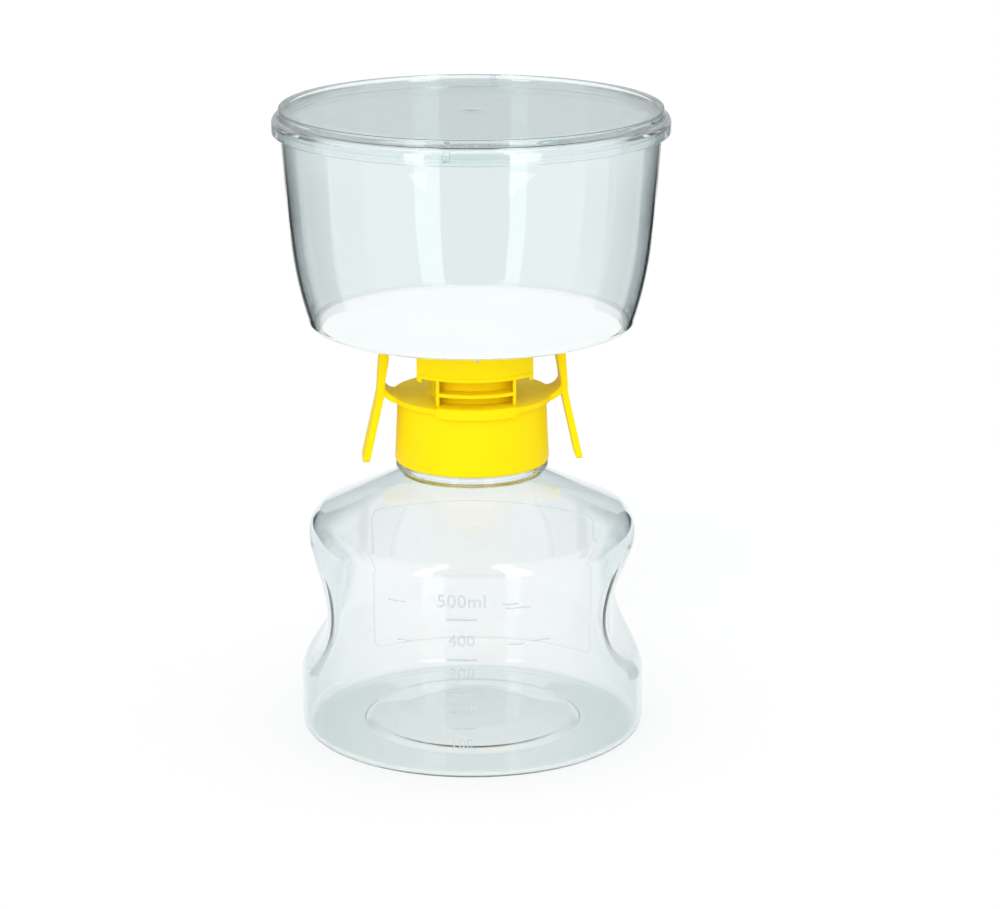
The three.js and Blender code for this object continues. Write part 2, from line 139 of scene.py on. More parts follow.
def closeMesh(piece, threshold=1e-6):
    bpy.ops.mesh.select_all(action="SELECT")
    bpy.ops.mesh.remove_doubles(threshold=threshold)
    bpy.ops.mesh.normals_make_consistent(inside=False)
    bpy.ops.object.mode_set(mode="OBJECT")
    return piece


# A profile of (radius, height) turned about Z. It starts and ends on the axis, or is closed.
def turnPiece(name, profile, steps, closed=False):
    points = [(x, 0, z) for x, z in profile]
    if closed:
        points.append(points[0])
    piece = drawOutline(name, points)
    bpy.ops.mesh.spin(steps=steps, angle=2 * math.pi, center=(0, 0, 0), axis=(0, 0, 1))
    return closeMesh(piece)


# An outline of (x, z) points made a plate along Y, from front to back.
def plateAcross(name, outline, front, back):
    piece = drawOutline(name, [(x, front, z) for x, z in outline])
    bpy.ops.mesh.edge_face_add()
    bpy.ops.mesh.extrude_region_move(TRANSFORM_OT_translate={"value": (0, (back - front) * mm, 0)})
    return closeMesh(piece)


# A section of (radius, height) swept round the front, then cut by upright planes at the half width.
def frontBand(name, section, halfWidth, steps=48):
    widest = max(r for r, z in section)
    narrowest = min(r for r, z in section)
    sweep = min(math.asin(min(0.999, halfWidth / narrowest)) + 0.12, math.pi / 2)
    piece = drawOutline(name, [(r * math.sin(sweep), -r * math.cos(sweep), z) for r, z in section])
    bpy.ops.mesh.edge_face_add()
    bpy.ops.mesh.spin(steps=steps, angle=2 * sweep, center=(0, 0, 0), axis=(0, 0, 1))
    closeMesh(piece)
    for side in (-1, 1):
        if halfWidth < widest:
            bpy.ops.object.mode_set(mode="EDIT")
            bpy.ops.mesh.select_all(action="SELECT")
            bpy.ops.mesh.bisect(
                plane_co=(side * halfWidth * mm, 0, 0), plane_no=(side, 0, 0), use_fill=True, clear_outer=True
            )
            closeMesh(piece)
    return piece


def addBlock(name, left, right, front, back, low, high):
    deselectAll()
    middle = Vector((left + right, front + back, low + high)) * mm / 2
    bpy.ops.mesh.primitive_cube_add(size=1, location=middle)
    piece = bpy.context.object
    piece.name = piece.data.name = name
    piece.scale = Vector((right - left, back - front, high - low)) * mm
    bpy.ops.object.transform_apply(location=True, rotation=True, scale=True)
    return piece


def makeActive(piece):
    deselectAll()
    piece.select_set(True)
    bpy.context.view_layer.objects.active = piece


def applyModifier(piece, kind, **settings):
    makeActive(piece)
    modifier = piece.modifiers.new(kind.title(), kind)
    for name, value in settings.items():
        setattr(modifier, name, value)
    bpy.ops.object.modifier_apply(modifier=modifier.name)
    return piece


def softenEdges(piece, width, segments=2, angle=35):
    return applyModifier(
        piece, "BEVEL", width=width * mm, segments=segments, limit_method="ANGLE",
        angle_limit=math.radians(angle), use_clamp_overlap=True,
    )


def combine(piece, other, operation="UNION"):
    applyModifier(piece, "BOOLEAN", object=other, operation=operation, solver="EXACT")
    bpy.data.objects.remove(other)
    return piece


def turnBy(piece, degrees, axis="Z", centre=(0, 0, 0)):
    makeActive(piece)
    bpy.ops.object.mode_set(mode="EDIT")
    bpy.ops.mesh.select_all(action="SELECT")
    bpy.ops.transform.rotate(value=-math.radians(degrees), orient_axis=axis, center_override=Vector(centre) * mm)
    bpy.ops.object.mode_set(mode="OBJECT")
    return piece


def mirroredCopy(piece, name):
    makeActive(piece)
    bpy.ops.object.duplicate()
    copy = bpy.context.object
    copy.name = copy.data.name = name
    bpy.ops.object.mode_set(mode="EDIT")
    bpy.ops.mesh.select_all(action="SELECT")
    bpy.ops.transform.resize(value=(-1, 1, 1), center_override=(0, 0, 0))
    bpy.ops.mesh.normals_make_consistent(inside=False)
    bpy.ops.object.mode_set(mode="OBJECT")
    return copy


# Vertex places as an array, and back again.
def placesOf(piece):
    flat = np.empty(len(piece.data.vertices) * 3)
    piece.data.vertices.foreach_get("co", flat)
    return flat.reshape(-1, 3) / mm


def setPlaces(piece, places):
    piece.data.vertices.foreach_set("co", (places * mm).ravel())
    piece.data.update()


def finishPiece(piece, node, body, material, smooth=30):
    makeActive(piece)
    bpy.ops.object.shade_smooth_by_angle(angle=math.radians(smooth))
    piece.data.materials.clear()
    piece.data.materials.append(material)
    if node:
        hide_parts(node)
    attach(piece, body)
    return piece

# ---- materials


# A shader socket that takes part in sums. node() adds any other node and gives its output the same way.
class Wire:
    def __init__(self, tree, socket=None):
        self.tree = tree
        self.socket = socket

    def node(self, kind, settings, inputs, output=0):
        made = self.tree.nodes.new(kind)
        for name, value in settings.items():
            if name == "stops":
                self.setStops(made.color_ramp, value)
            else:
                setattr(made, name, value)
        for name, value in inputs.items():
            if isinstance(value, Wire):
                self.tree.links.new(value.socket, made.inputs[name])
            else:
                made.inputs[name].default_value = value
        return None if output is None else Wire(self.tree, made.outputs[output])

    def setStops(self, ramp, stops):
        while len(ramp.elements) < len(stops):
            ramp.elements.new(0.5)
        for element, (position, colour) in zip(ramp.elements, stops):
            element.position = position
            element.color = colour if len(colour) == 4 else (*colour, 1)

    def other(self, output):
        return Wire(self.tree, self.socket.node.outputs[output])

    def maths(self, operation, first, second):
        return self.node("ShaderNodeMath", {"operation": operation}, {0: first, 1: second})

    def __add__(self, value):
        return self.maths("ADD", self, value)

    __radd__ = __add__

    def __sub__(self, value):
        return self.maths("SUBTRACT", self, value)

    def __rsub__(self, value):
        return self.maths("SUBTRACT", value, self)

    def __mul__(self, value):
        return self.maths("MULTIPLY", self, value)

    __rmul__ = __mul__

    def __truediv__(self, value):
        return self.maths("DIVIDE", self, value)

    def either(self, value):
        return self.maths("MAXIMUM", self, value)

    def ramp(self, stops, smooth=False):
        settings = {"stops": stops}
        made = self.node("ShaderNodeValToRGB", settings, {0: self})
        made.socket.node.color_ramp.interpolation = "EASE" if smooth else "LINEAR"
        return made

    def mixed(self, low, high):
        return self.node("ShaderNodeMix", {"data_type": "RGBA"}, {0: self, 6: low, 7: high}, 2)


def newMaterial(name):
    material = bpy.data.materials.new(name)
    material.use_nodes = True
    material.node_tree.nodes.clear()
    return material, Wire(material.node_tree)


def finishMaterial(material, wire, shader, inside=None):
    inputs = {"Surface": shader}
    if inside:
        inputs["Volume"] = inside
    wire.node("ShaderNodeOutputMaterial", {}, inputs, None)
    return material


def objectNoise(wire, scale, detail=2.0, roughness=0.5, stretch=(1, 1, 1)):
    place = wire.node("ShaderNodeTexCoord", {}, {}, "Object")
    place = wire.node("ShaderNodeMapping", {}, {"Vector": place, "Scale": stretch})
    return wire.node(
        "ShaderNodeTexNoise", {}, {"Vector": place, "Scale": scale, "Detail": detail, "Roughness": roughness}
    )


# Polished clear plastic. Looking in, the near wall is clear face on, and painted shade greys its colour aslant. The far
# wall's inner face has painted shade too, a grey in its colour that grows towards the edge. Both stand in for the dark
# contours of mirrored and refracted surroundings. Lamps and bounced light pass through as through a faint tint.
# Colours of the painted shade on the clear walls. They are set by how aslant the face is, and by whether it is the far
# wall's inner face.
clearLooks = {
    "bottle": {
        "near": (0.99, 0.995, 0.995), "turned": (0.84, 0.90, 0.905), "aslant": (0.62, 0.72, 0.73),
        "far": (0.94, 0.965, 0.97), "edge": (0.72, 0.81, 0.84), "depth": 10,
    },
    "funnel": {
        "near": (0.985, 0.99, 0.99), "turned": (0.985, 0.99, 0.99), "aslant": (0.985, 0.99, 0.99),
        "far": (0.67, 0.79, 0.80), "edge": (0.42, 0.56, 0.59), "depth": 10,
    },
    "lid": {
        "near": (0.93, 0.975, 0.975), "turned": (0.90, 0.96, 0.965), "aslant": (0.78, 0.89, 0.90),
        "far": (0.86, 0.93, 0.94), "edge": (0.66, 0.76, 0.79), "depth": 2,
    },
}
clearCommon = {"ior": 1.55, "shade": (0.97, 0.985, 0.985), "depthTint": (0.0, 0.24, 0.30)}


# Mask of the far wall's inner faces, which get the far wall's painted shade.
def innerFace(wire):
    geometry = wire.node("ShaderNodeNewGeometry", {}, {}, "Normal")
    place = wire.node("ShaderNodeTexCoord", {}, {}, "Object")
    level = wire.node("ShaderNodeVectorMath", {"operation": "MULTIPLY"}, {0: place, 1: (1, 1, 0)})
    outwards = wire.node("ShaderNodeVectorMath", {"operation": "NORMALIZE"}, {0: level})
    along = wire.node("ShaderNodeVectorMath", {"operation": "DOT_PRODUCT"}, {0: outwards, 1: geometry}, "Value")
    inwards = wire.node("ShaderNodeMapRange", {}, {"Value": along, "From Min": -0.1, "From Max": -0.4})
    return inwards * (1 - geometry.other("Backfacing"))


def clearPlastic(name, ripple, look):
    material, wire = newMaterial(name)
    # Painted shade: the base colour greys towards grazing angles, and more so on the far wall's inner face.
    facing = wire.node("ShaderNodeLayerWeight", {}, {"Blend": 0.5}, "Facing")
    farWallShade = facing.ramp([(0.0, look["far"]), (0.6, look["far"]), (0.78, look["edge"])])
    nearWallShade = facing.ramp([(0.1, look["near"]), (0.45, look["turned"]), (0.78, look["aslant"])])
    colour = innerFace(wire).mixed(nearWallShade, farWallShade)
    waves = objectNoise(wire, ripple["scale"], 1.0, 0.4, ripple["stretch"])
    bump = wire.node("ShaderNodeBump", {}, {"Strength": ripple["strength"], "Distance": 0.0004, "Height": waves})
    body = wire.node("ShaderNodeBsdfPrincipled", {}, {
        "Base Color": colour, "Roughness": 0.0, "IOR": clearCommon["ior"], "Transmission Weight": 1.0, "Normal": bump,
    })
    lampsThrough = wire.node("ShaderNodeBsdfTransparent", {}, {"Color": (*clearCommon["shade"], 1)})
    path = wire.node("ShaderNodeLightPath", {}, {}, "Is Shadow Ray")
    through = path.either(path.other("Is Diffuse Ray"))
    tint = (*clearCommon["depthTint"], 1)
    depth = wire.node("ShaderNodeVolumeAbsorption", {}, {"Color": tint, "Density": look["depth"]})
    shader = wire.node("ShaderNodeMixShader", {}, {0: through, 1: body, 2: lampsThrough})
    return finishMaterial(material, wire, shader, depth)


# Semi-gloss moulded plastic with a faint cloudiness and the finest grain of the mould.
def mouldedPlastic(name, colour, deep, roughness, soft):
    material, wire = newMaterial(name)
    cloud = objectNoise(wire, 60, 3.0)
    grain = objectNoise(wire, 2600, 2.0, 0.6)
    base = cloud.ramp([(0.3, (0, 0, 0)), (0.7, (1, 1, 1))]).mixed((*deep, 1), (*colour, 1))
    gloss = roughness + (cloud - 0.5) * 0.06 + (grain - 0.5) * 0.05
    bump = wire.node("ShaderNodeBump", {}, {"Strength": 0.12, "Distance": 0.00005, "Height": grain})
    shader = wire.node("ShaderNodeBsdfPrincipled", {}, {
        "Base Color": base, "Roughness": gloss, "IOR": 1.49, "Specular IOR Level": 0.05, "Normal": bump,
        "Subsurface Weight": soft, "Subsurface Radius": (0.6, 0.5, 0.1), "Subsurface Scale": 0.002,
    })
    return finishMaterial(material, wire, shader)


# The filter disc: matt white with the fine pores of a cast membrane.
def filterCloth(name):
    material, wire = newMaterial(name)
    pores = objectNoise(wire, 2200, 3.0, 0.65)
    cloud = objectNoise(wire, 35, 2.0)
    colour = cloud.ramp([(0.35, (0.955, 0.96, 0.955)), (0.65, (0.985, 0.985, 0.98))])
    bump = wire.node("ShaderNodeBump", {}, {"Strength": 0.3, "Distance": 0.00006, "Height": pores})
    shader = wire.node("ShaderNodeBsdfPrincipled", {}, {
        "Base Color": colour, "Roughness": 0.75 + (pores - 0.5) * 0.2, "Normal": bump, "Specular IOR Level": 0.35,
    })
    return finishMaterial(material, wire, shader)


# Letters and lines that stand proud of the clear wall. Their half-opaque grey is painted shade, standing in for the
# darker look that refraction gives the raised clear plastic.
def mouldedMark(name, strength):
    material, wire = newMaterial(name)
    cloud = objectNoise(wire, 300, 2.0)
    # Painted shade: a grey colour given to clear raised marks.
    colour = cloud.ramp([(0.3, (0.50, 0.58, 0.60)), (0.7, (0.58, 0.65, 0.67))])
    shader = wire.node("ShaderNodeBsdfPrincipled", {}, {
        "Base Color": colour, "Roughness": 0.6, "Specular IOR Level": 0.1, "Alpha": strength + (cloud - 0.5) * 0.1,
    })
    return finishMaterial(material, wire, shader)


bottleClear = clearPlastic("bottleClear", {"scale": 55, "stretch": (1, 1, 0.6), "strength": 0.05}, clearLooks["bottle"])
funnelClear = clearPlastic("funnelClear", {"scale": 40, "stretch": (1, 1, 0.35), "strength": 0.04}, clearLooks["funnel"])
lidClear = clearPlastic("lidClear", {"scale": 45, "stretch": (1, 1, 1), "strength": 0.03}, clearLooks["lid"])
yellowPlastic = mouldedPlastic("yellowPlastic", (0.92, 0.69, 0.004), (0.91, 0.675, 0.004), 0.45, 0.12)
whitePlastic = mouldedPlastic("whitePlastic", (0.86, 0.86, 0.83), (0.83, 0.83, 0.80), 0.4, 0.1)
gasketRubber = mouldedPlastic("gasketRubber", (0.80, 0.80, 0.77), (0.76, 0.76, 0.73), 0.62, 0.05)
membraneWhite = filterCloth("membraneWhite")
markClear = mouldedMark("markClear", 0.55)
frameClear = mouldedMark("frameClear", 0.14)
print("materials made")

# ---- receiver bottle

bottle = {
    "radius": 57.3, "wall": 1.5, "footRound": 4, "standing": 3.3,
    "pushUp": 36.2, "pushUpRise": 0.7, "pushUpEdge": 33.7, "pushUpHeight": 2.1,
    "dome": 20, "domeEdge": 4, "domeHeight": 4.6,
    "uprightTo": 24, "shoulder": 68.75, "taper": 3.05, "shoulderRound": 8.3, "slope": 25.2,
    "frontShoulder": 68, "frontRound": 5.7, "frontSlope": 26.65,
    "neck": 21.3, "neckWall": 1.7, "rootStep": 1.7, "groove": 1.3,
    "ring": 25.3, "ringHeight": 2.3, "neckLength": 17.7, "sides": 256, "rows": 48,
}
grip = {"radius": 25, "depth": 11, "height": 45, "softness": 3.5, "frontSoftness": 4.5}
thread = {"pitch": 4, "turns": 1.75, "rise": 1.1, "width": 2.3, "start": 3.4, "fade": 0.09}

mouth = boxOf("receiver_bottle")[1].z
ringTop = mouth - bottle["neckLength"]


# The wall and shoulder at the grips, and the straighter ones in front and behind.
gripSide = {key: bottle[key] for key in ("shoulder", "taper", "shoulderRound", "slope")}
frontSide = {
    "shoulder": bottle["frontShoulder"], "taper": 0, "shoulderRound": bottle["frontRound"],
    "slope": bottle["frontSlope"],
}


def shoulderFoot(inset, side=gripSide):
    slope = math.radians(side["slope"])
    bend = side["shoulderRound"] - inset
    return (
        bottle["radius"] - side["taper"] - side["shoulderRound"] + bend * math.sin(slope),
        side["shoulder"] + bend * math.cos(slope),
    )


# The skin from the foot of the wall to the foot of the cone.
def wallSkin(inset, side=gripSide):
    shoulderX = bottle["radius"] - side["taper"] - side["shoulderRound"]
    bend = arc(shoulderX, side["shoulder"], side["shoulderRound"] - inset, 0, 90 - side["slope"], 14)
    upright = bottle["radius"] - inset
    rows = bottle["rows"]
    low = [(upright, z) for z in np.linspace(bottle["footRound"], bottle["uprightTo"], rows // 2)]
    high = list(zip(np.linspace(upright, bend[0][0], rows), np.linspace(bottle["uprightTo"], bend[0][1], rows)))
    return [(float(r), float(z)) for r, z in low + high[1:] + bend[1:]]


# One skin from the axis at the base to the foot of the cone.
def bottleSkin(inset):
    radius = bottle["radius"]
    footRound = bottle["footRound"]
    low = softened([
        (0, bottle["domeHeight"] + inset),
        (bottle["dome"], bottle["domeEdge"] + inset, 40),
        (bottle["pushUpEdge"], bottle["pushUpHeight"] + inset, 5),
        (bottle["pushUp"], bottle["pushUpRise"] + inset, 2.5),
        (bottle["pushUp"] + 0.5, bottle["pushUpRise"] + inset - 0.1, 0.3),
        (radius - footRound - bottle["standing"], inset, 2),
        (radius - footRound, inset),
    ], steps=5)
    side = arc(radius - footRound, footRound, footRound - inset, -90, 0, 10)
    return low[:-1] + side + wallSkin(inset)[1:]


# Makes the turned bottle fuller in front and behind. Along a skin, height less radius only grows.
def fillFront(piece, roots):
    places = placesOf(piece)
    x, y, z = places.T
    radius = np.hypot(x, y)
    skins = []
    for inset, root in zip((0, bottle["wall"]), roots):
        side, front = wallSkin(inset) + [root], wallSkin(inset, frontSide) + [root]
        skins.append([(r, h, f - r, g - h) for (r, h), (f, g) in zip(side, front)])
    tables = [np.array(skin).T for skin in skins]
    along = z - radius
    gaps = [abs(np.interp(along, t[1] - t[0], t[0]) - radius) for t in tables]
    shifts = [[np.interp(along, t[1] - t[0], t[i]) for i in (2, 3)] for t in tables]
    outerNear = gaps[0] < gaps[1]
    out, up = [np.where(outerNear, a, b) for a, b in zip(*shifts)]
    share = np.clip((abs(y) / np.maximum(radius, 1e-6) - 0.3) / 0.55, 0, 1)
    share = share * share * (3 - 2 * share) * (z > bottle["uprightTo"]) * (np.minimum(*gaps) < 0.2)
    scale = 1 + share * out / np.maximum(radius, 1e-6)
    setPlaces(piece, np.stack([x * scale, y * scale, z + share * up], axis=1))


def blendedLarger(a, b, softness):
    mix = np.clip(0.5 + (a - b) / (2 * softness), 0, 1)
    return b + (a - b) * mix + softness * mix * (1 - mix)


# Faces of the inner skin look towards the axis.
def onInnerSkin(piece):
    normals = np.zeros(len(piece.data.vertices) * 3)
    piece.data.vertex_normals.foreach_get("vector", normals)
    places = placesOf(piece)
    inwards = (normals.reshape(-1, 3)[:, :2] * places[:, :2]).sum(axis=1) < 0
    return inwards


# The finger grips: both skins are drawn in to a lying cylinder's side, with a soft edge.
def pressGrips(piece):
    places = placesOf(piece)
    x, y, z = places.T
    radius = np.hypot(x, y)
    across = bottle["radius"] - grip["depth"] + grip["radius"]
    reach = grip["radius"] + grip["frontSoftness"] + bottle["wall"]
    near = (abs(z - grip["height"]) < reach) & (radius > 44)
    wall = np.where(onInnerSkin(piece), bottle["wall"], 0)
    limit = radius
    spoke = abs(x) / np.maximum(radius, 1e-6)

    softness = np.interp(abs(y), [0, 20, 38], [grip["softness"], grip["softness"], grip["frontSoftness"]])

    def outside(r):
        scoop = grip["radius"] + wall - np.hypot(r * spoke - across, z - grip["height"])
        return blendedLarger(r - limit, scoop, softness)

    low, high = np.full_like(radius, 20.0), limit.copy()
    for _ in range(40):
        middle = (low + high) / 2
        beyond = outside(middle) > 0
        high = np.where(beyond, middle, high)
        low = np.where(beyond, low, middle)
    scale = np.where(near, low / np.maximum(radius, 1e-6), 1)
    places[:, 0] *= scale
    places[:, 1] *= scale
    setPlaces(piece, places)


# Draws a turned skin out into a screw thread; a negative rise draws it in.
def cutThread(piece, radius, low, high, start, rise):
    places = placesOf(piece)
    x, y, z = places.T
    here = np.hypot(x, y)
    around = np.arctan2(y, x) / (2 * math.pi)
    turns = (z - start) / thread["pitch"] - around
    along = np.round(turns) + around
    away = (turns - np.round(turns)) * thread["pitch"] / thread["width"]
    ridge = np.where(abs(away) < 0.5, np.cos(math.pi * np.clip(away, -0.5, 0.5)), 0) ** 0.8
    ends = np.clip(along / thread["fade"], 0, 1) * np.clip((thread["turns"] - along) / thread["fade"], 0, 1)
    on = (abs(here - radius) < 0.05) & (z > low) & (z < high)
    scale = np.where(on, 1 + rise * ridge * ends / np.maximum(here, 1e-6), 1)
    places[:, 0] *= scale
    places[:, 1] *= scale
    setPlaces(piece, places)


def makeBottle():
    neck, bore = bottle["neck"], bottle["neck"] - bottle["neckWall"]
    rootRadius = neck + bottle["rootStep"]
    slope = math.tan(math.radians(bottle["slope"]))
    outerFoot, innerFoot = shoulderFoot(0), shoulderFoot(bottle["wall"])
    root = outerFoot[1] + (outerFoot[0] - rootRadius) * slope
    innerRoot = innerFoot[1] + (innerFoot[0] - bore) * slope
    ring, ringLow = bottle["ring"], ringTop - bottle["ringHeight"]
    outer, inner = bottleSkin(0), bottleSkin(bottle["wall"])
    collar = softened([
        outer[-1], (rootRadius, root, 0.8), (rootRadius, ringLow, 0.4), (ring, ringLow, 1.6), (ring, ringTop, 0.5),
        (neck, ringTop, 0.5), (neck, mouth - 1.2),
    ], steps=4)
    lip = softened([(neck, mouth - 1.2), (neck, mouth, 0.5), (bore, mouth, 0.5), (bore, mouth - 1.2)], steps=3)
    threadRows = spaced([collar[-2], collar[-1]], 0.4)
    throat = softened([(bore, mouth - 1.2), (bore, innerRoot, 3), inner[-1]], steps=5)
    profile = outer + collar[1:-1] + threadRows[1:] + lip[1:] + throat[1:] + inner[::-1][1:]
    piece = turnPiece("receiverBottle", profile, bottle["sides"])
    fillFront(piece, [(rootRadius, root), (bore, innerRoot)])
    pressGrips(piece)
    low = ringTop + 1
    cutThread(piece, neck, low, mouth - 1, ringTop + thread["start"], thread["rise"])
    return finishPiece(piece, "receiver_bottle", "bottle", bottleClear, 40)


makeBottle()
print("bottle made")

# ---- the bottle's moulded scale and the frame for a label

scale = {
    "numbers": [("500ml", 60.8, 6.2), ("400", 47.6, 5.6), ("300", 36.4, 5.4), ("200", 24.4, 5.0), ("100", 12.6, 4.6)],
    "lines": [54.9, 41.3, 29.8, 18], "lineHalf": 4.9, "lineHeight": 0.6,
    "sideLines": [(-24, -18, 59.8), (13, 18, 59.8), (14, 22, 58.4), (-21, -16, 46.8), (15, 20, 46.2), (22, 28, 46.8)],
    "proud": 0.16, "gap": 0.03,
}
labelFrame = {"half": 39, "aside": 1.2, "low": 10.8, "high": 61.5, "corner": 3, "line": 0.5, "proud": 0.16}


# The clear wall's outer radius at a height, front or back of the bottle, away from the grips.
def wallRadius(height):
    return np.interp(height, *zip(*[(z, r) for r, z in wallSkin(0, frontSide)]))


# Bends a flat piece drawn in (x, z), with its thickness along Y, round the bottle's wall.
def bendRound(piece, side, proud):
    places = placesOf(piece)
    x, y, z = places.T
    height = y.copy()
    depth = z - z.min()
    depth = depth / max(depth.max(), 1e-9) * proud
    radius = wallRadius(height) + scale["gap"] + depth
    angle = np.arcsin(np.clip(x / wallRadius(height), -1, 1))
    bent = np.stack([radius * np.sin(angle), -radius * np.cos(angle), height], axis=1)
    if side > 0:
        bent[:, :2] *= -1
    setPlaces(piece, bent)


def addLetters(name, words, height, size):
    deselectAll()
    bpy.ops.object.text_add(location=(0, 0, 0))
    piece = bpy.context.object
    piece.name = name
    piece.data.body = words
    piece.data.size = size * mm
    piece.data.align_x = "CENTER"
    piece.data.align_y = "CENTER"
    piece.data.extrude = 0.0001
    piece.data.resolution_u = 4
    piece.data.space_character = 1.06
    bpy.ops.object.convert(target="MESH")
    piece = bpy.context.object
    places = placesOf(piece)
    places[:, 1] += height
    setPlaces(piece, places)
    bpy.ops.object.mode_set(mode="EDIT")
    closeMesh(piece)
    return piece


def addLine(name, left, right, height, thick):
    piece = addBlock(name, left, right, height - thick / 2, height + thick / 2, 0, 0.2)
    bpy.ops.object.mode_set(mode="EDIT")
    bpy.ops.mesh.select_all(action="SELECT")
    bpy.ops.mesh.subdivide(number_cuts=6)
    bpy.ops.object.mode_set(mode="OBJECT")
    return piece


def makeScale():
    parts = [addLetters(f"number{i}", *entry) for i, entry in enumerate(scale["numbers"])]
    for i, height in enumerate(scale["lines"]):
        parts.append(addLine(f"line{i}", -scale["lineHalf"], scale["lineHalf"], height, scale["lineHeight"]))
    for i, (left, right, height) in enumerate(scale["sideLines"]):
        parts.append(addLine(f"sideLine{i}", left, right, height, 0.35))
    makeActive(parts[0])
    for part in parts:
        part.select_set(True)
    bpy.ops.object.join()
    piece = bpy.context.object
    piece.name = piece.data.name = "bottleScale"
    bendRound(piece, -1, scale["proud"])
    bpy.ops.object.mode_set(mode="EDIT")
    closeMesh(piece, 1e-7)
    return finishPiece(piece, None, "bottle", markClear)


def frameOutline(inset):
    half, low, high = labelFrame["half"] - inset, labelFrame["low"] + inset, labelFrame["high"] - inset
    corner = labelFrame["corner"] - inset
    loop = softened([(-half, low, corner), (half, low, corner), (half, high, corner), (-half, high, corner)], True, 6)
    return spaced(loop + loop[:1], 3)[:-1]


def makeLabelFrame():
    half = labelFrame["line"] / 2
    outer, inner = frameOutline(-half), frameOutline(half)
    piece = drawOutline("labelFrame", [(x, z, 0) for x, z in outer + outer[:1]])
    bpy.ops.object.mode_set(mode="OBJECT")
    other = drawOutline("labelFrameInner", [(x, z, 0) for x, z in inner + inner[:1]])
    bpy.ops.object.mode_set(mode="OBJECT")
    makeActive(piece)
    other.select_set(True)
    bpy.ops.object.join()
    bpy.ops.object.mode_set(mode="EDIT")
    bpy.ops.mesh.select_all(action="SELECT")
    bpy.ops.mesh.remove_doubles(threshold=1e-6)
    bpy.ops.mesh.bridge_edge_loops()
    bpy.ops.mesh.select_all(action="SELECT")
    bpy.ops.mesh.extrude_region_move(TRANSFORM_OT_translate={"value": (0, 0, 0.2 * mm)})
    closeMesh(piece)
    setPlaces(piece, placesOf(piece) - np.array([labelFrame["aside"], 0, 0]))
    bendRound(piece, 1, labelFrame["proud"])
    bpy.ops.object.mode_set(mode="EDIT")
    closeMesh(piece)
    return finishPiece(piece, None, "bottle", frameClear)


makeScale()
makeLabelFrame()
print("scale and label frame made")

# ---- neck gasket

gasket = {"bore": 19.7, "outer": 22.4, "rounding": 0.35}


def makeGasket():
    low, high = [corner.z for corner in boxOf("neck_gasket")]
    soft = gasket["rounding"]
    section = softened([
        (gasket["bore"], low, soft), (gasket["outer"], low, soft), (gasket["outer"], high, soft),
        (gasket["bore"], high, soft),
    ], closed=True)
    piece = turnPiece("neckGasket", section, 160, closed=True)
    return finishPiece(piece, "neck_gasket", "seal", gasketRubber, 50)


makeGasket()

# ---- collar: modelled facing -Y, then turned to where its thread stops

collar = {
    "turn": 7.4, "bore": 22.9, "skirt": 25.6, "taper": 0.9, "edge": 1,
    "flange": 26.6, "flangeThickness": 2, "flangeRise": 3.6, "height": 22, "core": 14.3, "coreWall": 1.6,
    "threadRise": 1.1, "sides": 192,
}
wing = {
    "reach": 31.5, "thickness": 2.2, "lean": 4, "spread": 5, "leg": 22.4, "half": 6.8, "waist": 6.2,
    "paddle": 6.6, "paddleRound": 2, "shoulder": 5, "growth": 0.7, "soft": 0.3,
}
arm = {"half": 6, "flare": 7, "dish": 5, "thickness": 2, "soft": 0.3}
panel = {
    "radius": 24.8, "thickness": 1.3, "half": 19, "height": 13, "lip": 1.3, "proud": 0.3,
    "hook": 1.4, "hookDrop": 1.2, "soft": 0.22,
}
louvre = {
    "half": 13, "rib": 1.05, "front": 24.5, "back": 19, "shelf": 3.6, "shelfThickness": 1.2,
    "sill": 27.2, "sillTop": 0.5, "sillRound": 1.3, "soft": 0.2,
}
port = {"rise": 10.6, "length": 10.2, "wall": 1.4, "plug": 3.1, "gap": 0.3}

headTop = boxOf("collar")[1].z
flangeTop = headTop - collar["height"]
seat = flangeTop - collar["flangeRise"]
skirtLow = ringTop + 0.4
portHeight = flangeTop + port["rise"]


def makeHub():
    skirt, bore, edge = collar["skirt"], collar["bore"], collar["edge"]
    waist = skirt - collar["taper"]
    flangeLow = flangeTop - collar["flangeThickness"]
    core, coreBore = collar["core"], collar["core"] - collar["coreWall"]
    outside = softened([
        (bore, skirtLow, 0.3), (skirt, skirtLow, edge), (waist, seat), (waist, flangeLow, 0.6),
        (collar["flange"], flangeLow, 0.6), (collar["flange"], flangeTop, 0.6), (core, flangeTop, 0.9),
        (core, headTop, 0.3), (coreBore, headTop, 0.3), (coreBore, seat, 0.3), (bore, seat, 0.3),
    ], closed=True, steps=4)
    top = max(range(len(outside)), key=lambda i: (outside[i][1] <= seat) * (outside[i][0] < bore + 0.01) * outside[i][1])
    turned = outside[top:] + outside[:top]
    rows = spaced([turned[0], turned[1]], 0.4) if abs(turned[0][0] - turned[1][0]) < 0.01 else turned[:2]
    piece = turnPiece("collar", rows + turned[2:], collar["sides"], closed=True)
    start = ringTop + thread["start"] + thread["pitch"] / 2
    cutThread(piece, bore, skirtLow + 1, seat - 1, start, -collar["threadRise"])
    return piece


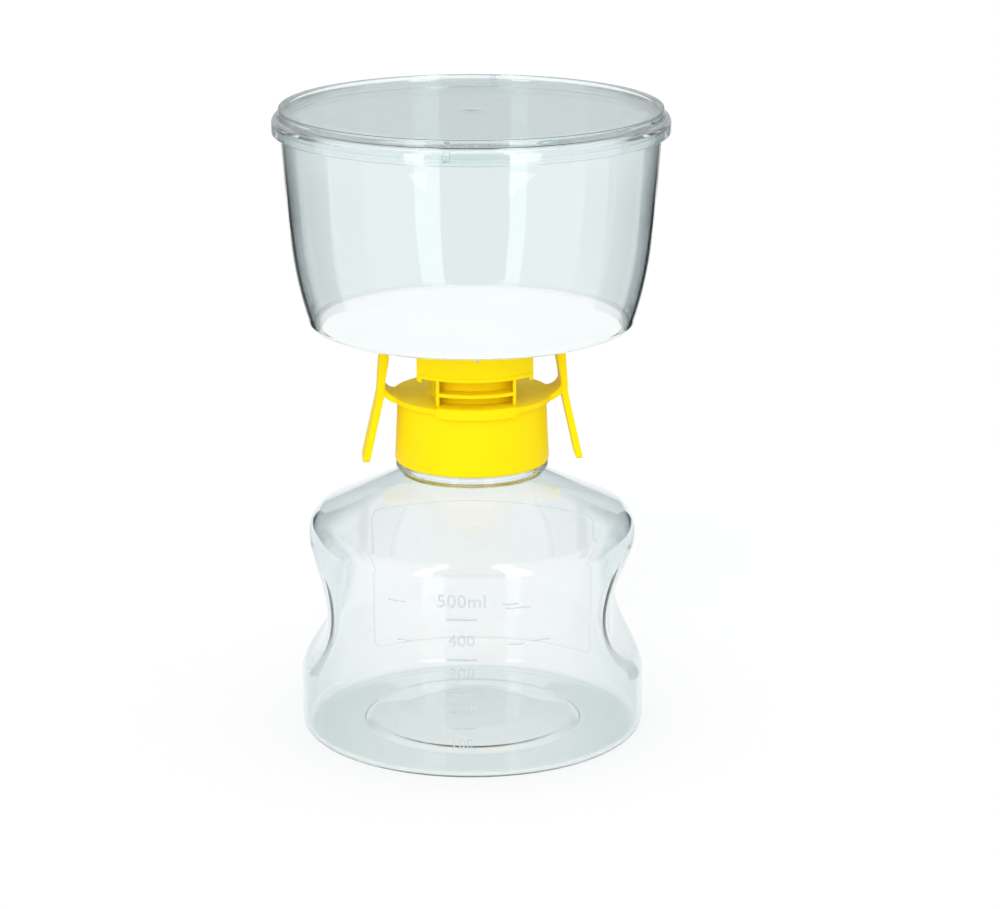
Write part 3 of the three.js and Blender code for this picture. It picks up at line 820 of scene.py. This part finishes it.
# A bar along a chain of oblong sections. Each gives its two (x, z) ends and its half depth.
def chainBar(name, sections):
    deselectAll()
    bpy.ops.mesh.primitive_plane_add(size=mm)
    piece = bpy.context.object
    piece.name = piece.data.name = name
    bpy.ops.object.mode_set(mode="EDIT")
    bpy.ops.mesh.select_all(action="SELECT")
    for _ in sections[1:]:
        bpy.ops.mesh.extrude_region_move(TRANSFORM_OT_translate={"value": (0, 0, mm)})
    closeMesh(piece)
    places = placesOf(piece)
    table = np.array([(*first, *second, half) for first, second, half in sections])
    rows = table[np.round(places[:, 2]).astype(int)]
    second = places[:, 0] > 0
    x, z = np.where(second, rows[:, 2], rows[:, 0]), np.where(second, rows[:, 3], rows[:, 1])
    setPlaces(piece, np.stack([x, np.sign(places[:, 1]) * rows[:, 4], z], axis=1))
    makeActive(piece)
    bpy.ops.object.mode_set(mode="EDIT")
    return closeMesh(piece)


# The dished arm that carries the right-hand wing, as a curved plate; its edges flare into the flange.
def makeArm():
    face = wing["reach"] - wing["thickness"]
    middleX, middleZ = face - arm["dish"], flangeTop + arm["dish"]
    upper = arc(middleX, middleZ, arm["dish"], 0, -90, 24)
    lower = arc(middleX, middleZ, arm["dish"] + arm["thickness"], 0, -90, 24)
    root = collar["skirt"] - 8
    sink = [0.12 + 0.3 * i / 5 for i in range(6)]
    inwards = [middleX + (root - middleX) * i / 5 for i in range(1, 6)]
    upper += [(x, flangeTop - d) for x, d in zip(inwards, sink)]
    lower += [(x, flangeTop - arm["thickness"] + 0.1) for x in inwards]
    upper[0], lower[0] = (face + 0.9, upper[0][1]), (face + 1.1, lower[0][1])
    halves = [arm["half"] + arm["flare"] * min(1, max(0, (face - 1 - x) / 8)) ** 1.6 for x, z in upper]
    piece = chainBar("arm", list(zip(lower, upper, halves)))
    return softenEdges(piece, arm["soft"], 2, 50)


# The upright wing above the knee and the splayed finger paddle below it, as one bent bar.
def makeWing():
    knee, tip = flangeTop, flangeTop - wing["leg"]
    thick, growth = wing["thickness"], wing["growth"]
    lean = math.tan(math.radians(wing["lean"]))

    def upright(z):
        return wing["reach"] - (z - knee) * lean

    outer = softened([
        (wing["reach"] + wing["spread"], tip), (upright(knee), knee, 6), (upright(headTop), headTop),
    ])
    inner = softened([
        (wing["reach"] + wing["spread"] - thick, tip), (upright(knee) - thick, knee, 5),
        (upright(knee + 5.5) - thick, knee + 5.5, 6), (upright(knee + 11.5) - thick - growth, knee + 11.5, 6),
        (upright(headTop) - thick - growth, headTop),
    ])
    heights = [tip + step for step in (0, 0.15, 0.4, 0.8, 1.3, 2)]
    heights += list(np.linspace(tip + 2, headTop, 56))[1:]
    bend = wing["paddleRound"]
    sections = []
    for z in heights:
        half = np.interp(z, [tip, knee, knee + wing["shoulder"]], [wing["paddle"], wing["waist"], wing["half"]])
        corner = min(bend, max(0, tip + bend - z))
        half -= bend - math.sqrt(bend ** 2 - corner ** 2)
        ends = [np.interp(z, [p[1] for p in side], [p[0] for p in side]) for side in (inner, outer)]
        sections.append(((ends[0], z), (ends[1], z), half))
    return softenEdges(chainBar("wing", sections), wing["soft"], 2, 50)


def makePanel():
    low = headTop - panel["height"]
    outer, inner = panel["radius"], panel["radius"] - panel["thickness"]
    proud, soft = panel["radius"] + panel["proud"], panel["soft"]
    section = softened([
        (inner, low, soft), (proud, low, soft), (proud, low + panel["lip"], soft), (outer, low + panel["lip"], soft),
        (outer, headTop), (inner, headTop),
    ], closed=True, steps=3)
    piece = frontBand("panel", section, panel["half"])
    hookLow = low - panel["hookDrop"]
    hookSection = softened([
        (inner, hookLow, soft), (proud, hookLow, soft), (proud, low + 0.6), (inner, low + 0.6),
    ], closed=True, steps=3)
    hooks = frontBand("hooks", hookSection, panel["half"])
    inside = panel["half"] - panel["hook"]
    combine(hooks, addBlock("hookGap", -inside, inside, -40, 40, hookLow - 5, low + 0.3), "DIFFERENCE")
    return combine(piece, hooks)


def makeLouvres():
    half, back = louvre["half"], louvre["back"] - panel["thickness"]
    low, shelf = seat + 0.6, flangeTop + louvre["shelf"]
    lipLow = headTop - panel["height"]
    soft = louvre["soft"]
    pocket = [(back, low + 0.2), (louvre["back"], low + 0.2), (louvre["back"], headTop - 0.1), (back, headTop - 0.1)]
    wall = frontBand("pocketWall", pocket, half - 0.3)
    shelfTop = shelf + louvre["shelfThickness"]
    shelfSection = softened([
        (back + 0.4, shelf), (louvre["front"], shelf, soft), (louvre["front"], shelfTop, soft), (back + 0.4, shelfTop),
    ], closed=True, steps=3)
    combine(wall, frontBand("shelf", shelfSection, half - 0.5))
    lipTop = lipLow + panel["lip"] - 0.1
    lipLow += 0.1
    lipBack = [(back + 0.4, lipLow), (panel["radius"] - 0.2, lipLow), (panel["radius"] - 0.2, lipTop), (back + 0.4, lipTop)]
    combine(wall, frontBand("upperShelf", lipBack, half - 0.5))
    for side in (-1, 1):
        left, right = sorted((side * half, side * (half - louvre["rib"])))
        front = -math.sqrt(louvre["front"] ** 2 - (half - 0.5) ** 2)
        rib = addBlock(f"rib{side}", left, right, front, -collar["core"] + 4, low, headTop - 0.4)
        combine(wall, softenEdges(rib, soft, 2))
    top = flangeTop + louvre["sillTop"]
    sillSection = softened([
        (back + 0.4, low), (louvre["sill"], low, soft), (louvre["sill"], top, 0.3), (back + 0.4, top),
    ], closed=True, steps=3)
    sill = frontBand("sill", sillSection, half + 0.08)
    bend = louvre["sillRound"]
    half += 0.06
    outline = [(-half, top + 1)] + arc(-half + bend, low + bend, bend, 180, 270, 8)
    outline += arc(half - bend, low + bend, bend, 270, 360, 8) + [(half, top + 1)]
    combine(sill, plateAcross("sillShape", outline, -40, 0), "INTERSECT")
    return combine(wall, sill)


def makePort():
    radius = port["plug"] + port["gap"] + port["wall"]
    start, end = collar["core"] - collar["coreWall"] / 2, collar["core"] + port["length"]
    tube = turnPiece("port", softened([(0, start), (radius, start), (radius, end, 0.4), (0, end)], steps=4), 96)
    turnBy(tube, -90, "X")
    shiftPiece(tube, (0, 0, portHeight))
    halfWeb = port["wall"] / 2
    web = addBlock("portWeb", -halfWeb, halfWeb, start, end - port["wall"], flangeTop - 0.6, portHeight)
    return combine(tube, softenEdges(web, 0.25, 2))


def shiftPiece(piece, offset):
    setPlaces(piece, placesOf(piece) + np.array(offset))
    return piece


def makeCollar():
    body = makeHub()
    right = combine(makeArm(), makeWing())
    left = mirroredCopy(right, "leftWing")
    for part in (right, left, makePanel(), makeLouvres(), makePort()):
        combine(body, part)
    bore = turnPiece("portBore", [(0, 0), (port["plug"] + port["gap"], 0), (port["plug"] + port["gap"], 60), (0, 60)], 96)
    turnBy(bore, -90, "X")
    combine(body, shiftPiece(bore, (0, 0, portHeight)), "DIFFERENCE")
    turnBy(body, collar["turn"])
    makeActive(body)
    bpy.ops.object.mode_set(mode="EDIT")
    closeMesh(body, 2e-6)
    return finishPiece(body, "collar", "head", yellowPlastic, 32)


makeCollar()
print("collar made")

# ---- hose connector

connector = {
    "bore": 1.8, "wall": 0.8, "plug": 3.1, "plugLength": 7, "stop": 5.2, "stopThickness": 1.5,
    "barbs": 3, "barbLength": 7, "barbRise": 0.7, "barbStep": 0.8, "shank": 2,
}


def makeConnector():
    reach = collar["core"] + port["length"]
    stop = reach + port["gap"]
    disc = stop + connector["stopThickness"]
    tip = connector["bore"] + connector["wall"]
    bore, plug = connector["bore"], connector["plug"]
    corners = [
        (bore, reach - connector["plugLength"], 0.2), (plug, reach - connector["plugLength"], 0.4), (plug, stop, 0.2),
        (connector["stop"], stop, 0.35), (connector["stop"], disc, 0.35),
    ]
    for i in range(connector["barbs"]):
        start = disc + i * connector["barbLength"]
        root = tip + (connector["barbs"] - 1 - i) * connector["barbStep"]
        corners += [(root, start, 0.3), (root, start + connector["shank"], 0.15)]
        corners.append((root + connector["barbRise"], start + connector["shank"], 0.15))
        corners.append((max(root - connector["barbStep"], tip), start + connector["barbLength"], 0.15))
    corners.append((bore, disc + connector["barbs"] * connector["barbLength"], 0.2))
    corners = [c for i, c in enumerate(corners) if i == 0 or math.dist(c[:2], corners[i - 1][:2]) > 0.01]
    piece = turnPiece("hoseConnector", softened(corners, closed=True, steps=3), 96, closed=True)
    turnBy(piece, -90, "X")
    shiftPiece(piece, (0, 0, portHeight))
    turnBy(piece, collar["turn"])
    return finishPiece(piece, "hose_connector", "head", whitePlastic, 35)


makeConnector()
print("gasket and hose connector made")

# ---- base plate under the membrane, with the spout and the drain grooves

basePlate = {
    "drop": 0.9, "dropInset": 2, "spout": 8.5, "spoutWall": 1.5, "grooves": 3, "spokes": 8,
    "grooveWidth": 1.4, "grooveDepth": 0.5, "sides": 192,
}


def makeBasePlate():
    low, high = boxOf("base_plate")
    tip, top, radius = low.z, high.z, high.x
    foot = boxOf("funnel")[0].z
    under = foot - basePlate["drop"]
    spout, bore = basePlate["spout"], basePlate["spout"] - basePlate["spoutWall"]
    inner, floor = radius - basePlate["dropInset"], top - basePlate["grooveDepth"]
    half = basePlate["grooveWidth"] / 2
    pitch = (radius - spout) / (basePlate["grooves"] + 1)
    corners = [
        (bore, tip, 0.3), (spout, tip, 0.4), (spout, under, 1.2), (inner, under, 0.3), (inner, foot, 0.2),
        (radius, foot, 0.2), (radius, top, 0.2),
    ]
    for i in range(basePlate["grooves"], 0, -1):
        middle = spout + i * pitch
        corners += [(middle + half, top, 0.15), (middle + half, floor, 0.15)]
        corners += [(middle - half, floor, 0.15), (middle - half, top, 0.15)]
    corners.append((bore, top, 0.5))
    piece = turnPiece("basePlate", softened(corners, closed=True, steps=3), basePlate["sides"], closed=True)
    outermost = spout + basePlate["grooves"] * pitch
    for i in range(basePlate["spokes"]):
        spoke = addBlock(f"spoke{i}", bore - 1, outermost, -half, half, floor, top + 1)
        combine(piece, turnBy(spoke, i * 360 / basePlate["spokes"]), "DIFFERENCE")
    return finishPiece(piece, "base_plate", "head", lidClear, 35)


makeBasePlate()

# ---- membrane

membrane = {"rounding": 0.12, "bareEdge": 1.3}


def makeMembrane():
    low, high = boxOf("membrane")
    soft, edge = membrane["rounding"], high.x - membrane["bareEdge"]
    profile = softened([(0, low.z), (edge, low.z, soft), (edge, high.z, soft), (0, high.z)], steps=3)
    piece = turnPiece("membrane", spaced(profile, 6), 192)
    return finishPiece(piece, "membrane", "head", membraneWhite, 40)


makeMembrane()
print("base plate and membrane made")

# ---- funnel

funnel = {
    "radius": 59.5, "curveHeight": 31.2, "taper": 4.1, "curve": 125, "wall": 1.5, "foot": 0.8,
    "footRound": 3.5, "footLand": 0.7, "rimProud": 0.8, "rimHeight": 2.6, "sides": 256,
    "gateTurn": 5.5, "gate": 1.3,
}

foot, rim = boxOf("funnel")[0].z, boxOf("funnel")[1].z
plateTop = foot + funnel["foot"]
slant = math.radians(funnel["taper"])
bulgeX = funnel["radius"] - funnel["curve"] * math.cos(slant)
bulgeZ = foot + funnel["curveHeight"] + funnel["curve"] * math.sin(slant)


def curvedRadius(inset, z):
    return bulgeX + math.sqrt((funnel["curve"] - inset) ** 2 - (z - bulgeZ) ** 2)


def straightRadius(inset, z):
    above = z - (foot + funnel["curveHeight"])
    return funnel["radius"] - inset / math.cos(slant) + above * math.tan(slant)


def bulge(inset, low, steps):
    bend = funnel["curve"] - inset
    start = math.degrees(math.asin((low - bulgeZ) / bend))
    return arc(bulgeX, bulgeZ, bend, start, -funnel["taper"], steps)


def makeFunnel():
    bend, wall = funnel["footRound"], funnel["wall"]
    cornerX, cornerZ = curvedRadius(bend, foot + bend), foot + bend
    lean = math.asin((bulgeZ - cornerZ) / (funnel["curve"] - bend))
    wallLow = cornerZ - bend * math.sin(lean)
    opening = cornerX - funnel["footLand"]
    rimLow = rim - funnel["rimHeight"]
    proud = straightRadius(0, rimLow) + funnel["rimProud"]
    outside = [(opening, foot)] + arc(cornerX, cornerZ, bend, -90, -math.degrees(lean), 10)[:-1]
    outside += bulge(0, wallLow, 16)
    top = softened([
        outside[-1], (straightRadius(0, rimLow), rimLow, 0.3), (proud, rimLow, 0.35), (proud, rim, 0.4),
        (straightRadius(wall, rim), rim, 0.4), (straightRadius(wall, rim - 8), rim - 8),
    ], steps=4)
    inside = bulge(wall, plateTop, 18)[::-1]
    corner = softened([inside[-3], (inside[-1][0], plateTop, 1.2), (opening, plateTop)], steps=6)
    profile = outside + spaced(top[1:], 12) + inside[:-3] + corner
    piece = turnPiece("funnel", profile, funnel["sides"], closed=True)
    return finishPiece(piece, "funnel", "head", funnelClear, 40)


# The small stub where the funnel was gated, under its front edge.
def makeFunnelGate():
    deselectAll()
    radius = funnel["gate"] / 2
    edge = curvedRadius(funnel["footRound"], foot + funnel["footRound"]) - 0.2
    bpy.ops.mesh.primitive_uv_sphere_add(segments=24, ring_count=12, radius=radius * mm)
    piece = bpy.context.object
    piece.name = piece.data.name = "funnelGate"
    bpy.ops.object.mode_set(mode="EDIT")
    bpy.ops.mesh.select_all(action="SELECT")
    bpy.ops.transform.resize(value=(1, 1, 0.8), center_override=(0, 0, 0))
    bpy.ops.transform.translate(value=Vector((0, -edge, foot - radius * 0.45)) * mm)
    bpy.ops.object.mode_set(mode="OBJECT")
    turnBy(piece, funnel["gateTurn"])
    return finishPiece(piece, None, "head", funnelClear, 60)


makeFunnel()
makeFunnelGate()
print("funnel made")

# ---- lid

lid = {
    "plate": 1.6, "ringRise": 1.3, "ringWidth": 2.4, "ringBevel": 0.4, "skirtWall": 1.4,
    "shoulderWidth": 2.3, "skirtDepth": 6.7, "shoulder": 1.8, "shoulderBevel": 0.6,
    "sides": 256, "nubTurns": [-3.4, 176.6], "nubHalf": 1.1,
    "dimple": 2.6, "dimpleRise": 0.2,
}


def makeLid():
    low, high = boxOf("lid")
    radius, ringTop, skirtLow = high.x, high.z, low.z
    top = ringTop - lid["ringRise"]
    under = top - lid["plate"]
    inner = radius - lid["skirtWall"]
    shoulder = top - lid["ringRise"]
    ring = radius - lid["shoulderWidth"]
    bevel = lid["ringBevel"]
    profile = softened([
        (0, under), (inner, under, 0.5), (inner, skirtLow, 0.3), (radius, skirtLow, 0.35),
        (radius, shoulder - lid["shoulder"], 0.6), (radius - lid["shoulderBevel"], shoulder - lid["shoulderBevel"], 0.7),
        (ring, shoulder, 0.5), (ring, ringTop, bevel), (ring - lid["ringWidth"], ringTop, bevel),
        (ring - lid["ringWidth"], top, 0.4), (lid["dimple"] + 1, top, 6), (lid["dimple"] * 0.5, top + lid["dimpleRise"], 6),
        (0, top + lid["dimpleRise"]),
    ], steps=5)
    piece = turnPiece("lid", spaced(profile, 8), lid["sides"])
    return finishPiece(piece, "lid", "head", lidClear, 40)


# Upright gate marks on the ring and skirt, one in front and one behind.
def makeLidNubs():
    low, high = boxOf("lid")
    radius, half = high.x, lid["nubHalf"]
    parts = []
    for i, turn in enumerate(lid["nubTurns"]):
        nub = addBlock(f"lidNub{i}", -half, half, -radius - 0.12, -radius + 0.5, low.z + 1.2, high.z - 3.4)
        softenEdges(nub, 0.25, 3)
        parts.append(turnBy(nub, turn))
        nub = addBlock(f"lidStub{i}", -half * 0.8, half * 0.8, -radius + 2.15, -radius + 2.6, high.z - 2.2, high.z - 0.4)
        softenEdges(nub, 0.15, 3)
        parts.append(turnBy(nub, turn))
    makeActive(parts[0])
    for part in parts:
        part.select_set(True)
    bpy.ops.object.join()
    piece = bpy.context.object
    piece.name = piece.data.name = "lidNubs"
    return finishPiece(piece, None, "head", lidClear, 60)


makeLid()
makeLidNubs()
print("lid made")

# ---- floor, studio and lamps

studio = {
    "floorRadius": 6, "floorColour": (0.93, 0.935, 0.94), "floorGlow": 0.34,
    "surround": 0.77, "ceiling": 0.8, "horizon": 0.95,
}


def makeFloor():
    material, wire = newMaterial("paleFloor")
    speck = objectNoise(wire, 6, 2.0)
    colour = speck.ramp([(0.3, studio["floorColour"]), (0.7, tuple(c * 0.995 for c in studio["floorColour"]))])
    matt = wire.node("ShaderNodeBsdfDiffuse", {}, {"Color": colour})
    glow = wire.node("ShaderNodeEmission", {}, {"Color": (1, 1, 1, 1), "Strength": 1.0})
    path = wire.node("ShaderNodeLightPath", {}, {}, "Is Camera Ray")
    seen = path.either(path.other("Is Glossy Ray")).either(path.other("Is Transmission Ray"))
    shader = wire.node("ShaderNodeMixShader", {}, {0: seen * studio["floorGlow"], 1: matt, 2: glow})
    finishMaterial(material, wire, shader)
    deselectAll()
    bpy.ops.mesh.primitive_circle_add(vertices=96, radius=studio["floorRadius"], fill_type="NGON")
    floor = bpy.context.object
    floor.name = floor.data.name = "floor"
    floor.data.materials.append(material)


# Plain view rays, and those that only pass through clear plastic, find white. What is mirrored finds the room.
def makeWorld():
    world = bpy.data.worlds.new("studioWorld")
    world.use_nodes = True
    bpy.context.scene.world = world
    world.node_tree.nodes.clear()
    wire = Wire(world.node_tree)
    direction = wire.node("ShaderNodeTexCoord", {}, {}, "Generated")
    height = wire.node("ShaderNodeSeparateXYZ", {}, {0: direction}, "Z")
    path = wire.node("ShaderNodeLightPath", {}, {}, "Is Diffuse Ray")
    mirrored = path.other("Glossy Depth").maths("GREATER_THAN", path.other("Glossy Depth"), 0.5)
    room = (height * 0.5 + 0.5).ramp([
        (0.0, (studio["horizon"],) * 3), (0.6, (studio["horizon"],) * 3), (0.8, (studio["ceiling"],) * 3),
    ])
    colour = path.mixed(mirrored.mixed((1, 1, 1, 1), room), (studio["surround"],) * 3 + (1,))
    background = wire.node("ShaderNodeBackground", {}, {"Color": colour, "Strength": 1.0})
    wire.node("ShaderNodeOutputWorld", {}, {"Surface": background}, None)


# Cards that only mirrored light sees. Banners stand in front and run on overhead: two bright ones and a dark one
# between them. Flags stand round the part, dark ones at the sides and a grey one high up behind.
banners = {
    "leftBanner": {"left": -528, "right": -335, "low": 2, "glow": 2.6},
    "darkBanner": {"left": -335, "right": 280, "low": 60, "glow": 0.35},
    "rightBanner": {"left": 280, "right": 572, "low": 2, "glow": 2.6},
}
bannerPath = [(-700, 1600), (-350, 2200), (600, 2300)]
flags = {
    "rightGreyFlag": {"from": 83, "to": 117, "distance": 230, "low": 45, "high": 250, "glow": 0.5, "kind": "fading"},
    "rightDarkFlag": {"from": 117, "to": 148, "distance": 230, "low": 45, "high": 250, "glow": 0.02, "kind": "fading"},
    "rightLowFlag": {"from": 107, "to": 122, "distance": 110, "low": 2, "high": 27, "glow": 0.02, "kind": "inside"},
    "leftLowFlag": {"from": 244, "to": 259, "distance": 110, "low": 2, "high": 27, "glow": 0.03, "kind": "inside"},
    "leftDarkFlag": {"from": 212, "to": 240, "distance": 230, "low": 45, "high": 250, "glow": 0.05, "kind": "fading"},
    "leftGreyFlag": {"from": 240, "to": 273, "distance": 230, "low": 45, "high": 250, "glow": 0.35, "kind": "fading"},
    "rearFlag": {"from": 130, "to": 230, "distance": 400, "low": 100, "high": 700, "glow": 0.6, "kind": "even"},
}
fade = {"start": 0.15, "end": 0.25, "glow": 0.8}


def onlyMirrored(piece, glow, material):
    turnBy(piece, viewpoint["turn"])
    piece.color = (1, 1, 1, glow)
    piece.data.materials.append(material)
    for ray in ("camera", "diffuse", "volume_scatter", "shadow"):
        setattr(piece, f"visible_{ray}", False)


# A fading card grows lighter towards its top. An inside card is seen only by light mirrored within clear plastic.
def cardMaterial(kind):
    material, wire = newMaterial(kind + "Card")
    strength = wire.node("ShaderNodeObjectInfo", {}, {}, "Alpha")
    if kind == "fading":
        place = wire.node("ShaderNodeTexCoord", {}, {}, "Object")
        height = wire.node("ShaderNodeSeparateXYZ", {}, {0: place}, "Z")
        ends = {"Value": height, "From Min": fade["start"], "From Max": fade["end"]}
        share = wire.node("ShaderNodeMapRange", {"interpolation_type": "SMOOTHSTEP"}, ends)
        strength = strength + share * (fade["glow"] - strength)
    card = wire.node("ShaderNodeEmission", {}, {"Color": (1, 1, 1, 1), "Strength": strength})
    path = wire.node("ShaderNodeLightPath", {}, {}, "Glossy Depth")
    mirrored = path.maths("GREATER_THAN", path, 0.5)
    if kind == "inside":
        mirrored = mirrored * path.maths("GREATER_THAN", path.other("Transmission Depth"), 0.5)
    nothing = wire.node("ShaderNodeBsdfTransparent", {}, {"Color": (1, 1, 1, 1)})
    finishMaterial(material, wire, wire.node("ShaderNodeMixShader", {}, {0: mirrored, 1: nothing, 2: card}))
    material.cycles.emission_sampling = "NONE"
    return material


def makeCards():
    materials = {kind: cardMaterial(kind) for kind in ("even", "fading", "inside")}
    for name, banner in banners.items():
        path = [(bannerPath[0][0], banner["low"])] + bannerPath
        piece = drawOutline(name, [(banner["left"], y, z) for y, z in path])
        wide = (banner["right"] - banner["left"]) * mm
        bpy.ops.mesh.extrude_region_move(TRANSFORM_OT_translate={"value": (wide, 0, 0)})
        bpy.ops.object.mode_set(mode="OBJECT")
        onlyMirrored(piece, banner["glow"], materials["even"])
    for name, flag in flags.items():
        steps = max(2, round((flag["to"] - flag["from"]) / 6))
        angles = [math.radians(flag["from"] + (flag["to"] - flag["from"]) * i / steps) for i in range(steps + 1)]
        reach = flag["distance"]
        piece = drawOutline(name, [(reach * math.sin(a), -reach * math.cos(a), flag["low"]) for a in angles])
        bpy.ops.mesh.extrude_region_move(TRANSFORM_OT_translate={"value": (0, 0, (flag["high"] - flag["low"]) * mm)})
        bpy.ops.object.mode_set(mode="OBJECT")
        onlyMirrored(piece, flag["glow"], materials[flag["kind"]])


# Broad soft lamps for the plain level of light. The glass doesn't mirror them.
lamps = {
    "overhead": {"aim": (0.15, -0.3, 1), "spread": 100, "strength": 0.62},
    "frontFill": {"aim": (-0.1, -1, 0.32), "spread": 50, "strength": 1.45},
}


def addLamps():
    for name, lamp in lamps.items():
        aim = Vector(lamp["aim"]).to_track_quat("Z", "Y").to_euler()
        bpy.ops.object.light_add(type="SUN", location=Vector(lamp["aim"]), rotation=aim)
        light = bpy.context.object
        light.name = light.data.name = name
        light.data.angle = math.radians(lamp["spread"])
        light.data.energy = lamp["strength"]
        for ray in ("camera", "transmission", "glossy"):
            setattr(light, f"visible_{ray}", False)


makeFloor()
makeWorld()
makeCards()
addLamps()

scene = bpy.context.scene
scene.view_settings.view_transform = "Standard"
scene.cycles.max_bounces = 48
scene.cycles.transmission_bounces = 24
scene.cycles.transparent_max_bounces = 32
scene.cycles.glossy_bounces = 36
scene.cycles.diffuse_bounces = 4
print("studio made")
